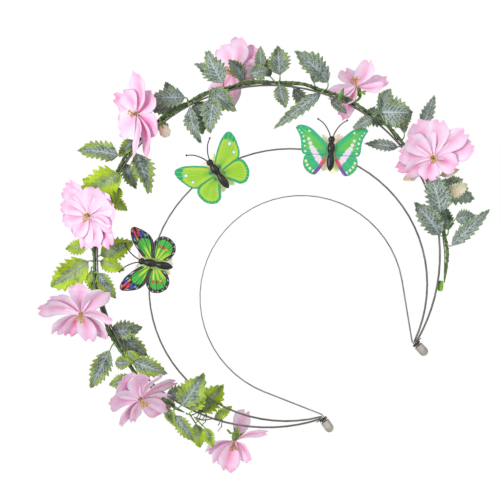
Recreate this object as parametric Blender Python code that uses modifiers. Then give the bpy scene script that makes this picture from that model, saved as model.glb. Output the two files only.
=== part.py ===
"""Flower crown: nested sprung bands in two end caps, a vine garland, silk flowers and film butterflies.

Metres, +Z up. The crown stands in the XZ plane, its wearer looks along -Y, and the origin is where the
inner band rests on the head. Angles round a band run from +Z, and grow towards +X.
"""

from math import acos, atan2, cos, hypot, pi, radians, sin

import bmesh
import bpy
from mathutils import Matrix, Vector

MM = 0.001
GAP = 0.35 * MM  # between touching pieces

# Bands: flat spring strips that stand on edge, and meet side by side in the end caps
STRIP_WIDTH = 4.0 * MM
BAND_THICKNESS = 0.6 * MM
HALO_THICKNESS = 0.8 * MM
BAND_RADIUS = 65.0 * MM
TIP_X = 38.5 * MM  # middle of a cap's mouth
TIP_DROP = 135.7 * MM  # from the head rest down to the caps' mouths
TIP_FLARE = radians(4)
MIDDLE_TOP = 34.0 * MM  # height of each halo band above the head rest
OUTER_TOP = 78.0 * MM
MIDDLE_LEAN = -3.2 * MM
MIDDLE_BULGE = 1.5 * MM  # the halos are sprung a little wider than round
OUTER_BULGE = 1.0 * MM
STRIP_PITCH = HALO_THICKNESS + GAP  # the strips lie flat against each other in a cap
BOUND_LENGTH = 3.6 * MM  # the strips run side by side above the mouth
STRIP_STAGGER = 0.9 * MM  # the outer strips bend away nearer the mouth
STRIP_IN_CAP = 5.0 * MM
FACET = 7.5 * MM  # length of one straight piece of a band

# End caps
CAP_LENGTH = 8.0 * MM
CAP_WALL = 0.5 * MM
CAP_POCKET_X = STRIP_PITCH + HALO_THICKNESS / 2 + 0.85 * MM  # an oval pocket clears the strips' corners
CAP_POCKET_Y = 0.76 * STRIP_WIDTH
CAP_POCKET_DEPTH = STRIP_IN_CAP + 0.6 * MM

# Wire wound round the strips
BINDING_WIRE = 0.3 * MM  # radius
BINDING_PITCH = 2.6 * MM  # the garland's turns are open
BINDING_TAIL = 4.0 * MM
TIP_BINDING_PITCH = 0.75 * MM  # the turns above a cap are close
TIP_BINDING_TURNS = 2
TIP_BINDING_RISE = 0.2 * MM  # over a cap's mouth
TIP_BINDING_TAIL = 2.2 * MM

# Vine
VINE_RADIUS = 1.0 * MM
VINE_WAVE = 0.45 * MM
VINE_STANDOFF = HALO_THICKNESS / 2 + VINE_RADIUS + 2 * VINE_WAVE  # clears the outer band where it waves in
VINE_WAVES = 23
VINE_START = radians(-112)
VINE_END = radians(137)
VINE_POINTS = 62
SLEEVE_LENGTH = 6.5 * MM
SLEEVE_RADIUS = 1.9 * MM
FIRST_TURN = radians(1)  # from the vine's end to the first stem that lies on the band

# Silk flowers
PETAL_THICKNESS = 0.9 * MM
PETAL_LOBES = 8
LOBE_DEPTH = 0.16  # share of the radius
STEM_RADIUS = 0.7 * MM
PETAL_HOLE = STEM_RADIUS + 0.8 * MM
PETAL_CLEAR = GAP + 0.2 * MM  # from the calyx to the petals
STEM_BESIDE = HALO_THICKNESS / 2 + STEM_RADIUS + GAP  # a stem that lies along the outer band
CALYX_RADIUS = 2.9 * MM
CALYX_LENGTH = 7.0 * MM
STAMEN_RADIUS = 2.4 * MM
STAMEN_HEIGHT = 6.0 * MM
STAMEN_NECK = 1.6 * MM  # how far the thin neck stands out of the petals

# Leaves
LEAF_THICKNESS = 0.7 * MM
LEAF_FOLD = 0.3  # rise of a blade's edges over its rib, for each unit of half width
LEAF_CURL = 0.12  # drop of its tip, for each unit of length
PETIOLE_RADIUS = 0.5 * MM
NODE_RADIUS = 1.0 * MM

# Butterflies
BODY_HALF_LENGTH = 11.0 * MM
BODY_RADIUS = 2.2 * MM
WING_THICKNESS = 0.5 * MM
WING_ROOT = BODY_RADIUS + 0.5 * MM  # from the body's middle to the crease of a wing
BACKING_THICKNESS = 0.5 * MM
BACKING_RADIUS = 8.0 * MM
BACKING_LOBE = 0.22  # share of the radius
ANTENNA_RADIUS = 0.3 * MM

# name: angle round the outer band, height over the vine, depth (+ behind), facing angle, facing forward,
# radius, cup depth; lengths in mm and angles in degrees
FLOWERS = {
    "flower_1": (28, 10, 17, -40, 32, 17, 8),
    "flower_2": (66, 11, 10, 21, 0, 19.5, 10),
    "flower_3": (97, 8, -11, -141, 65, 20.5, 7),
    "flower_4": (-3.5, 11, -9, -54, 28, 21, 7),
    "flower_5": (-37.5, 4.5, -15, -92, 60, 20.5, 7),
    "flower_6": (-67, 11, -14, -134, 46, 21, 8),
    "flower_7": (-98, 8, -12, 176, 32, 19.5, 9),
    "flower_8": (-130, 7, 12, -134, 14, 18, 9),
}

# name: angle of its root, side of the vine it leaves from (degrees from outwards towards the front), and its
# leaves: angle of the base, height over the vine, depth, direction, forward lift, length, width, roll
SPRIGS = {
    "leaf_sprig_1": (-14, 60, [(-17, 4, -5, -43, 5, 25, 13, 20), (-13, -5, -6, -160, 5, 26, 13, -15)]),
    "leaf_sprig_2": (-22, 70, [(-22, -5, -6, -77, 10, 31, 18, 10), (-26, -6, -5, -134, 8, 12, 7, 0)]),
    "leaf_sprig_3": (11, 60, [(11, 3, -4, -53, 10, 22, 12, 0), (11, -4, -5, -154, 5, 23, 9, 25)]),
    "leaf_sprig_4": (22, 80, [(24, 2, -10, 10, 6, 22, 14, -20), (20, -4, -5, -133, 5, 23, 13, 10)]),
    "leaf_sprig_5": (35, 60, [(36, 6, -3, 39, 8, 16, 7, 0), (33, 5, -6, 112, 8, 12, 10, 20)]),
    "leaf_sprig_6": (42, 70, [(42, 4, -5, 34, 5, 18, 13, 0), (42, -3, -5, -157, 5, 14, 9, 10)]),
    "leaf_sprig_7": (57, 80, [(57, 5, -6, -8, 8, 28, 14, 20), (56, -3, -6, -88, 6, 36, 8, 0)]),
    "leaf_sprig_8": (
        76,
        80,
        [(76, 3, -6, 129, 4, 20, 18, 0), (75, 7, -6, 68, 6, 12, 8, 0), (75, -3, -6, -78, 5, 13, 7, 0)],
    ),
    "leaf_sprig_9": (88, -60, [(89, 12, 4, 63, -10, 27, 8, 0), (88, -4, 4, -44, -5, 21, 7, 0)]),
    "leaf_sprig_10": (104, -60, [(105, 4, 5, 152, -6, 26, 16, 0), (107, 9, 5, 104, -8, 12, 9, 0)]),
    "leaf_sprig_11": (
        123,
        80,
        [(121, -4, -4, 2, 8, 25, 14, 10), (125, 3, -4, 84, 8, 32, 9, -10), (117, 8, -3, 118, 5, 12, 9, 0)],
    ),
    "leaf_sprig_12": (-53, -60, [(-52, 4, 4, -85, -6, 29, 18, -10), (-50, -4, 5, 106, -8, 22, 14, 0)]),
    "leaf_sprig_13": (-57, 80, [(-56, -3, -4, -176, 6, 19, 9, 0)]),
    "leaf_sprig_14": (-78, -60, [(-76, -4, 5, 172, -5, 26, 14, 10), (-81, 6, 4, -114, -8, 27, 12, 0)]),
    "leaf_sprig_15": (-88, 80, [(-88, -4, -4, 150, 6, 22, 12, 0), (-85, 6, -4, 129, 10, 11, 8, 0)]),
    "leaf_sprig_16": (-107, 80, [(-110, -4, -5, 74, 8, 24, 17, 10), (-110, 4, -5, -178, 8, 20, 9, 0)]),
    "leaf_sprig_17": (
        -111,
        -60,
        [
            (-116, -4, 5, 82, -4, 23, 15, 0),
            (-117, 4, 6, -150, -8, 16, 9, 0),
            (-122, -4, 5, 95, -3, 13, 6, 0),
        ],
    ),
}

# name: angle round the outer band, height over the vine, depth, direction, length, radius
BUDS = {
    "bud_1": (0, -6, -6, -165, 8, 3),
    "bud_2": (14.5, -5, 5, -160, 8, 3),
    "pod": (63, -4, -6, 60, 9, 1.6),
}

# name: angle of the body's middle round the middle band, its height over the band in mm, and its heading
BUTTERFLIES = {
    "butterfly_1": (7.5, -3.3, 2.5),
    "butterfly_2": (56.5, 0.4, 42.0),
    "butterfly_3": (-40.7, -3.1, -40.0),
}

BINDINGS = {"binding_wire_1": -117.0, "binding_wire_2": -119.0, "binding_wire_3": -124.5}

COLOURS = {
    "band_steel": ((0.62, 0.62, 0.62), 0.3, 1.0),
    "halo_steel": ((0.30, 0.26, 0.25), 0.4, 1.0),
    "end_cap": ((0.72, 0.70, 0.67), 0.35, 0.6),
    "binding": ((0.06, 0.035, 0.03), 0.5, 0.3),
    "vine": ((0.13, 0.12, 0.07), 0.7, 0.0),
    "sleeve": ((0.08, 0.28, 0.08), 0.5, 0.0),
    "petal": ((0.94, 0.62, 0.80), 0.8, 0.0),
    "stem": ((0.24, 0.34, 0.10), 0.7, 0.0),
    "leaf": ((0.16, 0.30, 0.12), 0.7, 0.0),
    "bud": ((0.86, 0.80, 0.62), 0.8, 0.0),
    "film": ((0.35, 0.70, 0.12), 0.25, 0.0),
    "insect": ((0.02, 0.02, 0.02), 0.6, 0.0),
    "backing": ((0.90, 0.86, 0.72), 0.8, 0.0),
}


# ---- scene and small helpers


def clear_scene():
    for obj in list(bpy.data.objects):
        bpy.data.objects.remove(obj, do_unlink=True)


def make_materials():
    for name, (colour, roughness, metallic) in COLOURS.items():
        material = bpy.data.materials.new(name)
        material.use_nodes = True
        shader = material.node_tree.nodes["Principled BSDF"]
        shader.inputs["Base Color"].default_value = (*colour, 1)
        shader.inputs["Roughness"].default_value = roughness
        shader.inputs["Metallic"].default_value = metallic


def add_object(name, data, material, matrix=None):
    obj = bpy.data.objects.new(name, data)
    obj.data.materials.append(bpy.data.materials[material])
    bpy.data.collections["flower_crown"].objects.link(obj)
    if matrix is not None:
        obj.matrix_world = matrix
    return obj


def add_mesh(name, bm, material, matrix=None):
    bmesh.ops.recalc_face_normals(bm, faces=bm.faces)
    mesh = bpy.data.meshes.new(name)
    bm.to_mesh(mesh)
    bm.free()
    mesh.shade_smooth()
    return add_object(name, mesh, material, matrix)


def add_tube(name, points, radius, material, radii=None, sides=6):
    """A closed tube along the points; radii scale the radius at each of them."""
    curve = bpy.data.curves.new(name, "CURVE")
    curve.dimensions = "3D"
    curve.bevel_depth = radius
    curve.bevel_resolution = (sides - 4) // 2
    curve.use_fill_caps = True
    spline = curve.splines.new("POLY")
    spline.points.add(len(points) - 1)
    for index, point in enumerate(points):
        spline.points[index].co = (*point, 1)
        spline.points[index].radius = radii[index] if radii else 1
    return add_object(name, curve, material)


def as_mesh(obj, weld=0.01 * MM):
    """The object as a plain closed mesh, in its own place, which takes and gives booleans."""
    bpy.context.view_layer.update()
    evaluated = obj.evaluated_get(bpy.context.evaluated_depsgraph_get())
    mesh = bpy.data.meshes.new_from_object(evaluated)
    bm = bmesh.new()
    bm.from_mesh(mesh)
    bmesh.ops.remove_doubles(bm, verts=bm.verts, dist=weld)
    bmesh.ops.recalc_face_normals(bm, faces=bm.faces)
    bm.to_mesh(mesh)
    bm.free()
    name, matrix = obj.name, obj.matrix_world.copy()
    bpy.data.objects.remove(obj, do_unlink=True)
    made = bpy.data.objects.new(name, mesh)
    bpy.data.collections["flower_crown"].objects.link(made)
    made.matrix_world = matrix
    return made


def union(name, pieces):
    """One closed body from overlapping pieces."""
    body = pieces[0]
    for piece in pieces[1:]:
        modifier = body.modifiers.new("join", "BOOLEAN")
        modifier.operation = "UNION"
        modifier.object = piece
    body = as_mesh(body, weld=0.0002 * MM)
    for piece in pieces[1:]:
        bpy.data.objects.remove(piece, do_unlink=True)
    body.name = name
    return body


def in_plane(angle, lift=0.0):
    """Direction at an angle from +Z towards +X, lifted forward."""
    return Vector((sin(angle) * cos(lift), -sin(lift), cos(angle) * cos(lift)))


def smooth_path(corners, steps):
    """Points on a smooth curve through the corners, with steps between each two."""
    ends = [2 * corners[0] - corners[1], *corners, 2 * corners[-1] - corners[-2]]
    points = []
    for index in range(1, len(ends) - 2):
        a, b, c, d = ends[index - 1 : index + 3]
        for step in range(steps):
            t = step / steps
            square = (2 * a - 5 * b + 4 * c - d) * t**2
            cube = (3 * b - a - 3 * c + d) * t**3
            points.append(0.5 * (2 * b + (c - a) * t + square + cube))
    return [*points, corners[-1]]


# ---- bands


def cap_axis(side):
    """Down the cap, from its mouth."""
    return Vector((side * sin(TIP_FLARE), 0, -cos(TIP_FLARE)))


def cap_across(side):
    """Across the cap, away from the head."""
    return Vector((side * cos(TIP_FLARE), 0, sin(TIP_FLARE)))


def strip_end(side, lane):
    """The mouth, where the strip in this lane enters the cap: -1 inner band, 0 middle, 1 outer."""
    return Vector((side * TIP_X, 0, -TIP_DROP)) + lane * STRIP_PITCH * cap_across(side)


def junction(side, lane):
    """Where the strip bends away from the others."""
    return strip_end(side, lane) - (BOUND_LENGTH - lane * STRIP_STAGGER) * cap_axis(side)


def halo_circle(top, lane):
    """(centre height, radius) of the arc through both junctions and the top."""
    joint = junction(1, lane)
    height = top - joint.z
    radius = (height**2 + joint.x**2) / (2 * height)
    return top - radius, radius


def halo_end(top, lane):
    """The angle at which the arc meets its junction."""
    centre, _ = halo_circle(top, lane)
    joint = junction(1, lane)
    return pi - atan2(joint.x, centre - joint.z)


def halo_point(top, lane, angle, bulge, lean=0.0):
    centre, radius = halo_circle(top, lane)
    share = angle / halo_end(top, lane)
    shift = lean * cos(pi / 2 * share) + bulge * sin(pi * share)
    return Vector((radius * sin(angle) + shift, 0, centre + radius * cos(angle)))


def middle_point(angle):
    return halo_point(MIDDLE_TOP, 0, angle, MIDDLE_BULGE, MIDDLE_LEAN)


def halo_path(top, lane, bulge, lean=0.0):
    last = halo_end(top, lane)
    count = 2 * round(halo_circle(top, lane)[1] * last / FACET)
    return [halo_point(top, lane, last * (2 * step / count - 1), bulge, lean) for step in range(count + 1)]


def outer_point(angle):
    return halo_point(OUTER_TOP, 1, angle, OUTER_BULGE)


def band_path():
    """The arc over the head, with straight legs that leave it at a tangent."""
    centre = BAND_THICKNESS / 2 - BAND_RADIUS
    joint = junction(1, -1)
    reach = hypot(joint.x, joint.z - centre)
    last = pi - atan2(joint.x, centre - joint.z) - acos(BAND_RADIUS / reach)
    count = 2 * round(BAND_RADIUS * last / FACET) + 1
    angles = [last * (2 * step / count - 1) for step in range(count + 1)]
    # The facets' middles, and not their corners, lie on the head's circle
    radius = BAND_RADIUS / cos(last / count)
    arc = [Vector((radius * sin(a), 0, centre + radius * cos(a))) for a in angles]
    return [junction(-1, -1), *arc, junction(1, -1)]


def make_strip(name, path, lane, thickness, material):
    deep = [strip_end(side, lane) + STRIP_IN_CAP * cap_axis(side) for side in (-1, 1)]
    points = [deep[0], *path, deep[1]]
    curve = bpy.data.curves.new(name, "CURVE")
    curve.dimensions = "2D"
    curve.fill_mode = "NONE"
    curve.extrude = STRIP_WIDTH / 2
    spline = curve.splines.new("POLY")
    spline.points.add(len(points) - 1)
    for index, point in enumerate(points):
        spline.points[index].co = (point.x, point.z, 0, 1)
    strip = add_object(name, curve, material, Matrix.Rotation(pi / 2, 4, "X"))
    solidify = strip.modifiers.new("thickness", "SOLIDIFY")
    solidify.thickness = thickness
    solidify.offset = 0
    solidify.use_even_offset = True


def make_bands():
    make_strip("inner_band", band_path(), -1, BAND_THICKNESS, "band_steel")
    middle = halo_path(MIDDLE_TOP, 0, MIDDLE_BULGE, MIDDLE_LEAN)
    make_strip("middle_ring", middle, 0, HALO_THICKNESS, "halo_steel")
    make_strip("outer_ring", halo_path(OUTER_TOP, 1, OUTER_BULGE), 1, HALO_THICKNESS, "halo_steel")


def make_cap(name, side):
    """A round-ended cap with a pocket, turned and then flattened to an oval."""
    outer = CAP_POCKET_X + CAP_WALL
    profile = [(0, -CAP_LENGTH)]
    for step in range(1, 5):
        turn = pi / 2 * step / 4
        profile.append((outer * sin(turn), outer * (1 - cos(turn)) - CAP_LENGTH))
    profile += [(outer, 0), (CAP_POCKET_X, 0), (CAP_POCKET_X, -CAP_POCKET_DEPTH), (0, -CAP_POCKET_DEPTH)]
    bm = bmesh.new()
    corners = [bm.verts.new((r, 0, z)) for r, z in profile]
    for first, second in zip(corners, corners[1:]):
        bm.edges.new((first, second))
    line = bm.verts[:] + bm.edges[:]
    bmesh.ops.spin(bm, geom=line, cent=(0, 0, 0), axis=(0, 0, 1), angle=2 * pi, steps=16, use_merge=True)
    bmesh.ops.remove_doubles(bm, verts=bm.verts, dist=0.01 * MM)
    bmesh.ops.scale(bm, vec=(1, (CAP_POCKET_Y + CAP_WALL) / outer, 1), verts=bm.verts)
    place = Matrix.Translation((side * TIP_X, 0, -TIP_DROP)) @ Matrix.Rotation(-side * TIP_FLARE, 4, "Y")
    add_mesh(name, bm, "end_cap", place)


# ---- wire turns


def winding(centre, along, across, half_across, half_deep, turns, pitch, tail):
    """Points of a wire wound round a flat bundle, with a straight loose end."""
    per_turn = 10
    points = []
    for step in range(round(turns * per_turn) + 1):
        angle = 2 * pi * step / per_turn
        a, b = cos(angle), sin(angle)
        offset = across * half_across * abs(a) ** 0.5 * (1 if a > 0 else -1)
        offset = offset + Vector((0, 1, 0)) * half_deep * abs(b) ** 0.5 * (1 if b > 0 else -1)
        points.append(centre + offset + along * pitch * step / per_turn)
    return [*points, points[-1] + tail]


def make_tip_binding(name, side):
    half_across = STRIP_PITCH + HALO_THICKNESS / 2 + 2 * GAP + BINDING_WIRE
    half_deep = STRIP_WIDTH / 2 + 2 * GAP + BINDING_WIRE
    start = strip_end(side, 0) - (GAP + BINDING_WIRE + TIP_BINDING_RISE) * cap_axis(side)
    points = winding(
        start,
        -cap_axis(side),
        cap_across(side),
        half_across,
        half_deep,
        TIP_BINDING_TURNS,
        TIP_BINDING_PITCH,
        TIP_BINDING_TAIL * cap_across(side),
    )
    add_tube(name, points, BINDING_WIRE, "binding", sides=4)


def make_binding(name, degrees_round):
    """Turns round the outer band and the stem beside it, past the vine's end."""
    angle = radians(degrees_round)
    outward = in_plane(angle)
    bundle = HALO_THICKNESS / 2 + STEM_BESIDE + STEM_RADIUS
    half_across = bundle / 2 + 2 * GAP + BINDING_WIRE
    half_deep = STRIP_WIDTH / 2 + 2 * GAP + BINDING_WIRE
    start = outer_point(angle) + outward * (bundle - HALO_THICKNESS) / 2
    tail = BINDING_TAIL * in_plane(angle + radians(25))
    along = in_plane(angle - pi / 2)
    points = winding(start, along, outward, half_across, half_deep, 1, BINDING_PITCH, tail)
    add_tube(name, points, BINDING_WIRE, "binding", sides=4)


# ---- vine


def vine_point(angle):
    """The vine's middle: it waves beside the outer band."""
    wave = VINE_WAVES * (angle - VINE_START)
    outward = in_plane(angle)
    point = outer_point(angle) + outward * (VINE_STANDOFF + VINE_WAVE * sin(wave))
    return point + Vector((0, VINE_WAVE * 2 * cos(wave), 0))


def over_vine(angle, height, depth):
    """A place at a height over the vine's line, in millimetres, and a depth behind the band's plane."""
    return outer_point(angle) + in_plane(angle) * (VINE_STANDOFF + height * MM) + Vector((0, depth * MM, 0))


def make_vine():
    span = VINE_END - VINE_START
    points = [vine_point(VINE_START + span * step / (VINE_POINTS - 1)) for step in range(VINE_POINTS)]
    add_tube("vine_stem", points, VINE_RADIUS, "vine")


def make_sleeve():
    """The cut sheath over the garland's end, clear of the vine that stops in it."""
    end = vine_point(VINE_END)
    back = (vine_point(VINE_END) - vine_point(VINE_END - radians(2))).normalized()
    first = end + back * GAP
    points = [first, first + back * SLEEVE_LENGTH * 0.5, first + back * SLEEVE_LENGTH]
    add_tube("stem_end_sleeve", points, SLEEVE_RADIUS, "sleeve", radii=[0.8, 1, 0.85], sides=8)


# ---- flowers


def facing_matrix(place, facing):
    """Local +Z along the facing direction."""
    return Matrix.Translation(place) @ facing.to_track_quat("Z", "Y").to_matrix().to_4x4()


def make_petals(name, place, facing, radius, cup):
    """A round of petals as one scalloped funnel, open in the middle for the stem."""
    rim = PETAL_LOBES * 3
    bm = bmesh.new()
    bmesh.ops.create_cone(bm, cap_ends=False, segments=rim, radius1=PETAL_HOLE, radius2=radius, depth=cup)
    rays = [e for e in bm.edges if abs(e.verts[0].co.z - e.verts[1].co.z) > cup / 2]
    bmesh.ops.subdivide_edges(bm, edges=rays, cuts=1)
    for vert in bm.verts:
        out = hypot(vert.co.x, vert.co.y)
        share = max(0, (out - PETAL_HOLE) / (radius - PETAL_HOLE))
        lobe = 1 - LOBE_DEPTH * share * (1 - abs(cos(PETAL_LOBES / 2 * atan2(vert.co.y, vert.co.x))))
        vert.co.x *= lobe
        vert.co.y *= lobe
        vert.co.z = cup * share**1.4
    petals = add_mesh(name, bm, "petal", facing_matrix(place, facing))
    solidify = petals.modifiers.new("thickness", "SOLIDIFY")
    solidify.thickness = PETAL_THICKNESS
    solidify.offset = 0


def beside_band(angle):
    """On the outside of the outer band, past the vine's end."""
    return outer_point(angle) + in_plane(angle) * STEM_BESIDE


def stem_root(place, angle):
    """The stem's first points: off the vine's side, or along the band from where the vine ends."""
    if angle < VINE_START:
        first = VINE_START - FIRST_TURN
        steps = 5
        return [beside_band(first + (angle - first) * step / steps) for step in range(steps + 1)]
    root = vine_point(angle)
    return [root + (place - root).normalized() * (VINE_RADIUS + STEM_RADIUS + GAP)]


def make_stem(name, place, facing, angle):
    """Stem, calyx, and the stamens on a neck through the petals."""
    below = PETAL_THICKNESS / 2 + PETAL_CLEAR
    calyx = place - facing * (below + CALYX_LENGTH)
    root = stem_root(calyx, angle)
    bend = root[-1].lerp(calyx, 0.5) - facing * 1.5 * MM
    stations = [
        *((point, STEM_RADIUS) for point in root),
        (bend, STEM_RADIUS),
        (calyx, STEM_RADIUS),
        (calyx + facing * CALYX_LENGTH * 0.45, CALYX_RADIUS * 0.75),
        (calyx + facing * CALYX_LENGTH, CALYX_RADIUS),
        (calyx + facing * (CALYX_LENGTH + 0.15 * MM), STEM_RADIUS),
        (place + facing * STAMEN_NECK, STEM_RADIUS),
        (place + facing * 2 * STAMEN_NECK, STAMEN_RADIUS),
        (place + facing * STAMEN_HEIGHT, STAMEN_RADIUS * 0.9),
    ]
    points = [point for point, _ in stations]
    add_tube(name, points, MM, "stem", radii=[radius / MM for _, radius in stations])


def make_flowers():
    for name, (around, height, depth, turn, forward, radius, cup) in FLOWERS.items():
        place = over_vine(radians(around), height, depth)
        facing = in_plane(radians(turn), radians(forward))
        make_petals(f"{name}_petals", place, facing, radius * MM, cup * MM)
        make_stem(f"{name}_stem", place, facing, radians(around))


# ---- leaves


def leaf_matrix(base, direction, roll):
    """Local +Y along the leaf and local +Z out of its face, which looks forward before the roll."""
    front = Vector((0, -1, 0))
    normal = (front - front.dot(direction) * direction).normalized()
    across = direction.cross(normal)
    turn = Matrix((across, direction, normal)).transposed().to_4x4()
    return Matrix.Translation(base) @ turn @ Matrix.Rotation(roll, 4, "Y")


def make_blade(name, length, width, matrix):
    """A pointed blade, folded a little along its rib and curled at its tip."""
    bm = bmesh.new()
    bmesh.ops.create_grid(bm, x_segments=2, y_segments=4, size=0.5)
    for vert in bm.verts:
        along = vert.co.y + 0.5
        half = width * (0.06 + 0.44 * sin(pi * along**0.8) ** 0.8) if 0 < along < 1 else 0.4 * MM
        across = 2 * vert.co.x * half
        vert.co = Vector((across, along * length, abs(across) * LEAF_FOLD - length * LEAF_CURL * along**2))
    blade = add_mesh(name, bm, "leaf", matrix)
    solidify = blade.modifiers.new("thickness", "SOLIDIFY")
    solidify.thickness = LEAF_THICKNESS
    solidify.offset = 0
    return as_mesh(blade)


def round_band(around, height, depth):
    """Where a stalk that ends inside the outer band passes the band's edge, or None for one that doesn't."""
    if height > 0:
        return None
    clear = STRIP_WIDTH / 2 + 2 * BINDING_WIRE + PETIOLE_RADIUS + 3 * GAP
    edge = over_vine(radians(around), 0, 0) - in_plane(radians(around)) * VINE_STANDOFF
    return edge + Vector((0, clear if depth > 0 else -clear, 0))


def make_sprig(name, root_angle, side, leaves):
    """Leaves whose stalks meet in one swelling beside the vine."""
    angle, side = radians(root_angle), radians(side)
    away = in_plane(angle) * cos(side) + Vector((0, -1, 0)) * sin(side)
    node = vine_point(angle) + away * (VINE_RADIUS + NODE_RADIUS + GAP)
    bm = bmesh.new()
    bmesh.ops.create_icosphere(bm, subdivisions=1, radius=NODE_RADIUS)
    pieces = [add_mesh(name, bm, "leaf", Matrix.Translation(node))]
    for index, (around, height, depth, turn, lift, length, width, roll) in enumerate(leaves):
        base = over_vine(radians(around), height, depth)
        direction = in_plane(radians(turn), radians(lift))
        matrix = leaf_matrix(base, direction, radians(roll))
        into = base + direction * length * MM * 0.27
        bend = round_band(around, height, depth) or node.lerp(base, 0.5) + away * 0.6 * MM
        stalk = add_tube(f"{name}_stalk_{index}", [node, bend, base, into], PETIOLE_RADIUS, "leaf", sides=4)
        pieces += [as_mesh(stalk), make_blade(f"{name}_blade_{index}", length * MM, width * MM, matrix)]
    made = union(name, pieces)
    made.data.materials.clear()
    made.data.materials.append(bpy.data.materials["leaf"])


def make_sprigs():
    for name, (root_angle, side, leaves) in SPRIGS.items():
        make_sprig(name, root_angle, side, leaves)


def make_buds():
    for name, (around, height, depth, turn, length, radius) in BUDS.items():
        angle = radians(around)
        base = over_vine(angle, height, depth)
        direction = in_plane(radians(turn))
        face = Vector((0, 1 if depth > 0 else -1, 0))
        start = vine_point(angle) + face * (VINE_RADIUS + PETIOLE_RADIUS + GAP)
        middle = base + direction * length * MM * 0.5
        tip = base + direction * length * MM
        points = [start, round_band(around, height, depth), base, middle, tip]
        stalk = PETIOLE_RADIUS / MM
        add_tube(name, points, MM, "bud", radii=[stalk, stalk, stalk, radius, radius * 0.35])


# ---- butterflies


def butterfly_frame(around, height, heading):
    """Local +X to the right wing, +Y to the head and +Z forward."""
    angle = radians(around)
    place = middle_point(angle) + in_plane(angle) * height * MM
    return leaf_matrix(place, in_plane(radians(heading)), 0)


WING_OUTLINE = (  # from the crease round the right wing, in millimetres from the body's middle
    (0.0, 5.0),
    (8.5, 12.5),
    (18.5, 18.2),
    (21.8, 16.0),
    (18.5, 8.0),
    (15.6, 2.2),
    (17.2, -3.0),
    (15.6, -10.5),
    (9.5, -13.6),
    (4.0, -9.0),
    (0.0, -4.5),
)


def make_wing(name, frame, side, height):
    """A flat film wing; its origin is on the crease beside the body."""
    curve = bpy.data.curves.new(name, "CURVE")
    curve.dimensions = "2D"
    curve.fill_mode = "BOTH"
    curve.extrude = WING_THICKNESS / 2
    curve.resolution_u = 2
    corners = [Vector((side * (0 if x == 0 else x * MM - WING_ROOT), y * MM, 0)) for x, y in WING_OUTLINE]
    points = smooth_path(corners, 3)
    spline = curve.splines.new("POLY")
    spline.points.add(len(points) - 1)
    spline.use_cyclic_u = True
    for index, point in enumerate(points):
        spline.points[index].co = (*point, 1)
    crease = frame @ Matrix.Translation((side * WING_ROOT, 0, height))
    add_object(name, curve, "film", crease)


def make_backing(name, frame, height):
    """A round of small silk petals behind the body, flat against the band."""
    bm = bmesh.new()
    size = {"radius1": BACKING_RADIUS, "radius2": BACKING_RADIUS, "depth": BACKING_THICKNESS}
    bmesh.ops.create_cone(bm, cap_ends=True, segments=18, **size)
    for vert in bm.verts:
        lobe = 1 - BACKING_LOBE * (1 - abs(cos(3 * atan2(vert.co.y, vert.co.x))))
        vert.co.x *= lobe
        vert.co.y *= lobe
    add_mesh(name, bm, "backing", frame @ Matrix.Translation((0, 0, height)))


def make_insect(name, frame, height):
    """Head, thorax and abdomen as one turned body, with two antennae in the head."""
    half = BODY_HALF_LENGTH
    stations = [
        (-half, 0.25),
        (-0.55 * half, 0.62),
        (-0.2 * half, 0.75),
        (-0.02 * half, 0.5),
        (0.3 * half, 1.0),
        (0.62 * half, 0.62),
        (0.8 * half, 0.9),
        (half, 0.45),
    ]
    points = [frame @ Vector((0, along, height)) for along, _ in stations]
    body = add_tube(name, points, BODY_RADIUS, "insect", radii=[share for _, share in stations], sides=8)
    pieces = [as_mesh(body)]
    for side in (-1, 1):
        corners = [(0.5, 9.5, 0), (2.0, 15.0, 1.0), (4.2, 24.0, 1.5), (4.8, 25.4, 1.6), (5.1, 26.2, 1.6)]
        route = [frame @ Vector((side * x * MM, y * MM, height + z * MM)) for x, y, z in corners]
        thick = [1, 1, 1, 2.2, 1.4]
        feeler = add_tube(f"{name}_feeler", route, ANTENNA_RADIUS, "insect", radii=thick, sides=4)
        pieces.append(as_mesh(feeler))
    made = union(name, pieces)
    made.data.materials.clear()
    made.data.materials.append(bpy.data.materials["insect"])


def make_butterflies():
    backing = STRIP_WIDTH / 2 + GAP + BACKING_THICKNESS / 2
    body = backing + BACKING_THICKNESS / 2 + GAP + BODY_RADIUS
    wing = body - 0.3 * BODY_RADIUS
    for name, (around, height, heading) in BUTTERFLIES.items():
        frame = butterfly_frame(around, height, heading)
        make_backing(f"{name}_backing", frame, backing)
        make_insect(f"{name}_body", frame, body)
        make_wing(f"{name}_wing_right", frame, 1, wing)
        make_wing(f"{name}_wing_left", frame, -1, wing)


def main():
    clear_scene()
    crown = bpy.data.collections.new("flower_crown")
    bpy.context.scene.collection.children.link(crown)
    make_materials()
    make_bands()
    for side, word in ((-1, "left"), (1, "right")):
        make_cap(f"tip_cap_{word}", side)
        make_tip_binding(f"tip_binding_{word}", side)
    for name, around in BINDINGS.items():
        make_binding(name, around)
    make_vine()
    make_sleeve()
    make_flowers()
    make_sprigs()
    make_buds()
    make_butterflies()


main()
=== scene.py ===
import bpy
import random
from math import cos, pi, radians, sin, sqrt
import numpy as np
from mathutils import Matrix, Vector


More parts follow.
